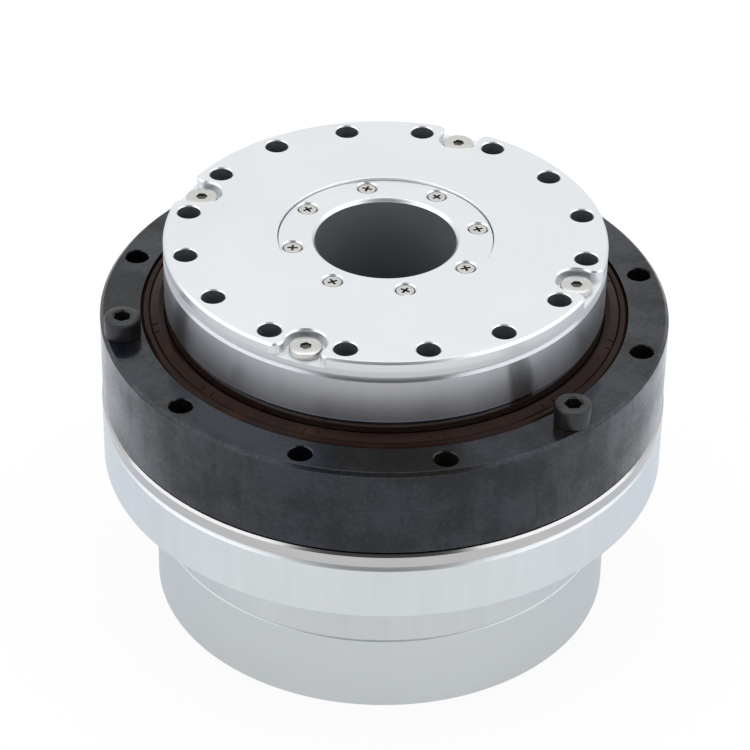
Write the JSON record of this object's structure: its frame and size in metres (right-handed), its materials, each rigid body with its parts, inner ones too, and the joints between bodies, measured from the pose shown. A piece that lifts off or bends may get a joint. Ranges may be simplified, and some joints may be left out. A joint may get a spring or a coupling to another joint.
{
  "type": "robot joint actuator",
  "caption": "Hollow-shaft rotary robot joint actuator: strain-wave gear, crossed-roller output bearing and frameless motor in a stepped round housing.",
  "frame": {"origin": "centre of the rear face of the rear cover, on the output axis", "axes": "+Z along the output axis, from the rear cover towards the output face; +X through the free hole of the fixed ring that lies opposite an assembly screw"},
  "size_m": [0.11, 0.11, 0.0792],
  "materials": {
    "cover_aluminium": "fine bead-blasted, clear anodised",
    "machined_aluminium": "turned, clear anodised",
    "output_aluminium": "fine faced, clear anodised",
    "dark_tube": "dark grey anodised tube",
    "gear_steel": "fine ground",
    "brim_steel": "turned, bare",
    "black_steel": "black oxide, satin",
    "black_screw": "black oxide",
    "bright_screw": "bright, plain",
    "shaft_steel": "turned",
    "bearing_steel": "ground and polished",
    "lamination": "stacked sheet",
    "magnet": "nickel plated",
    "copper": "enamelled wire",
    "brass_part": "turned",
    "seal_rubber": "brown fluororubber",
    "black_rubber": "moulded",
    "black_plastic": "moulded",
    "pale_plastic": "moulded",
    "cage_plastic": "moulded",
    "circuit_board": "solder mask",
    "encoder_ring": "bonded magnet ring"
  },
  "bodies": {
    "housing": {"rear_cover": "cover_aluminium", "rear_cover_screws": "black_screw", "motor_housing": "machined_aluminium", "housing_o_ring": "black_rubber", "rear_bearing_plate": "machined_aluminium", "bearing_plate_screws": "black_screw", "stator_core": "lamination", "stator_windings": "copper", "flexspline": "brim_steel", "bearing_outer_ring": "black_steel", "outer_ring_screws": "black_screw", "oil_seal": "seal_rubber", "driver_board": "circuit_board", "board_standoffs": "brass_part", "board_screws": "bright_screw", "board_chips": "black_plastic", "encoder_read_heads": "black_plastic", "power_connector": "black_plastic", "signal_connector": "pale_plastic", "front_bearing_outer_race": "bearing_steel", "rear_bearing_outer_race": "bearing_steel"},
    "output": {"output_flange": "output_aluminium", "flange_screws": "bright_screw", "circular_spline": "gear_steel", "spline_screws": "black_screw", "bearing_inner_ring": "bearing_steel", "centre_sleeve": "dark_tube", "sleeve_cap": "output_aluminium", "cap_screws": "bright_screw", "output_encoder_ring": "encoder_ring"},
    "rotor": {"motor_shaft": "shaft_steel", "rotor_hub": "shaft_steel", "rotor_magnets": "magnet", "shaft_locknut": "shaft_steel", "motor_encoder_ring": "encoder_ring", "wave_generator_plug": "shaft_steel", "wave_generator_screws": "black_screw", "wave_bearing_inner_race": "bearing_steel", "wave_bearing_outer_race": "bearing_steel", "wave_bearing_balls": "bearing_steel", "wave_bearing_cage": "cage_plastic", "front_bearing_inner_race": "bearing_steel", "rear_bearing_inner_race": "bearing_steel"},
    "roller_train": {"crossed_rollers": "bearing_steel", "roller_spacers": "cage_plastic"},
    "front_ball_train": {"front_bearing_balls": "bearing_steel", "front_bearing_cage": "cage_plastic"},
    "rear_ball_train": {"rear_bearing_balls": "bearing_steel", "rear_bearing_cage": "cage_plastic"}
  },
  "joints": [
    {"name": "output_spin", "type": "hinge", "parent": "housing", "child": "output", "pos_m": [0, 0, 0], "axis": [0, 0, 1], "continuous": true, "deforming": ["flexspline"]},
    {"name": "rotor_spin", "type": "hinge", "parent": "housing", "child": "rotor", "pos_m": [0, 0, 0], "axis": [0, 0, 1], "continuous": true, "deforming": ["flexspline"]},
    {"name": "roller_train_spin", "type": "hinge", "parent": "housing", "child": "roller_train", "pos_m": [0, 0, 0], "axis": [0, 0, 1], "continuous": true},
    {"name": "front_ball_spin", "type": "hinge", "parent": "housing", "child": "front_ball_train", "pos_m": [0, 0, 0], "axis": [0, 0, 1], "continuous": true},
    {"name": "rear_ball_spin", "type": "hinge", "parent": "housing", "child": "rear_ball_train", "pos_m": [0, 0, 0], "axis": [0, 0, 1], "continuous": true}
  ],
  "couplings": [
    {"joint": "rotor_spin", "follows": "output_spin", "ratio": 101},
    {"joint": "roller_train_spin", "follows": "output_spin", "ratio": 0.47744},
    {"joint": "front_ball_spin", "follows": "output_spin", "ratio": 46.559},
    {"joint": "rear_ball_spin", "follows": "output_spin", "ratio": 46.559}
  ]
}
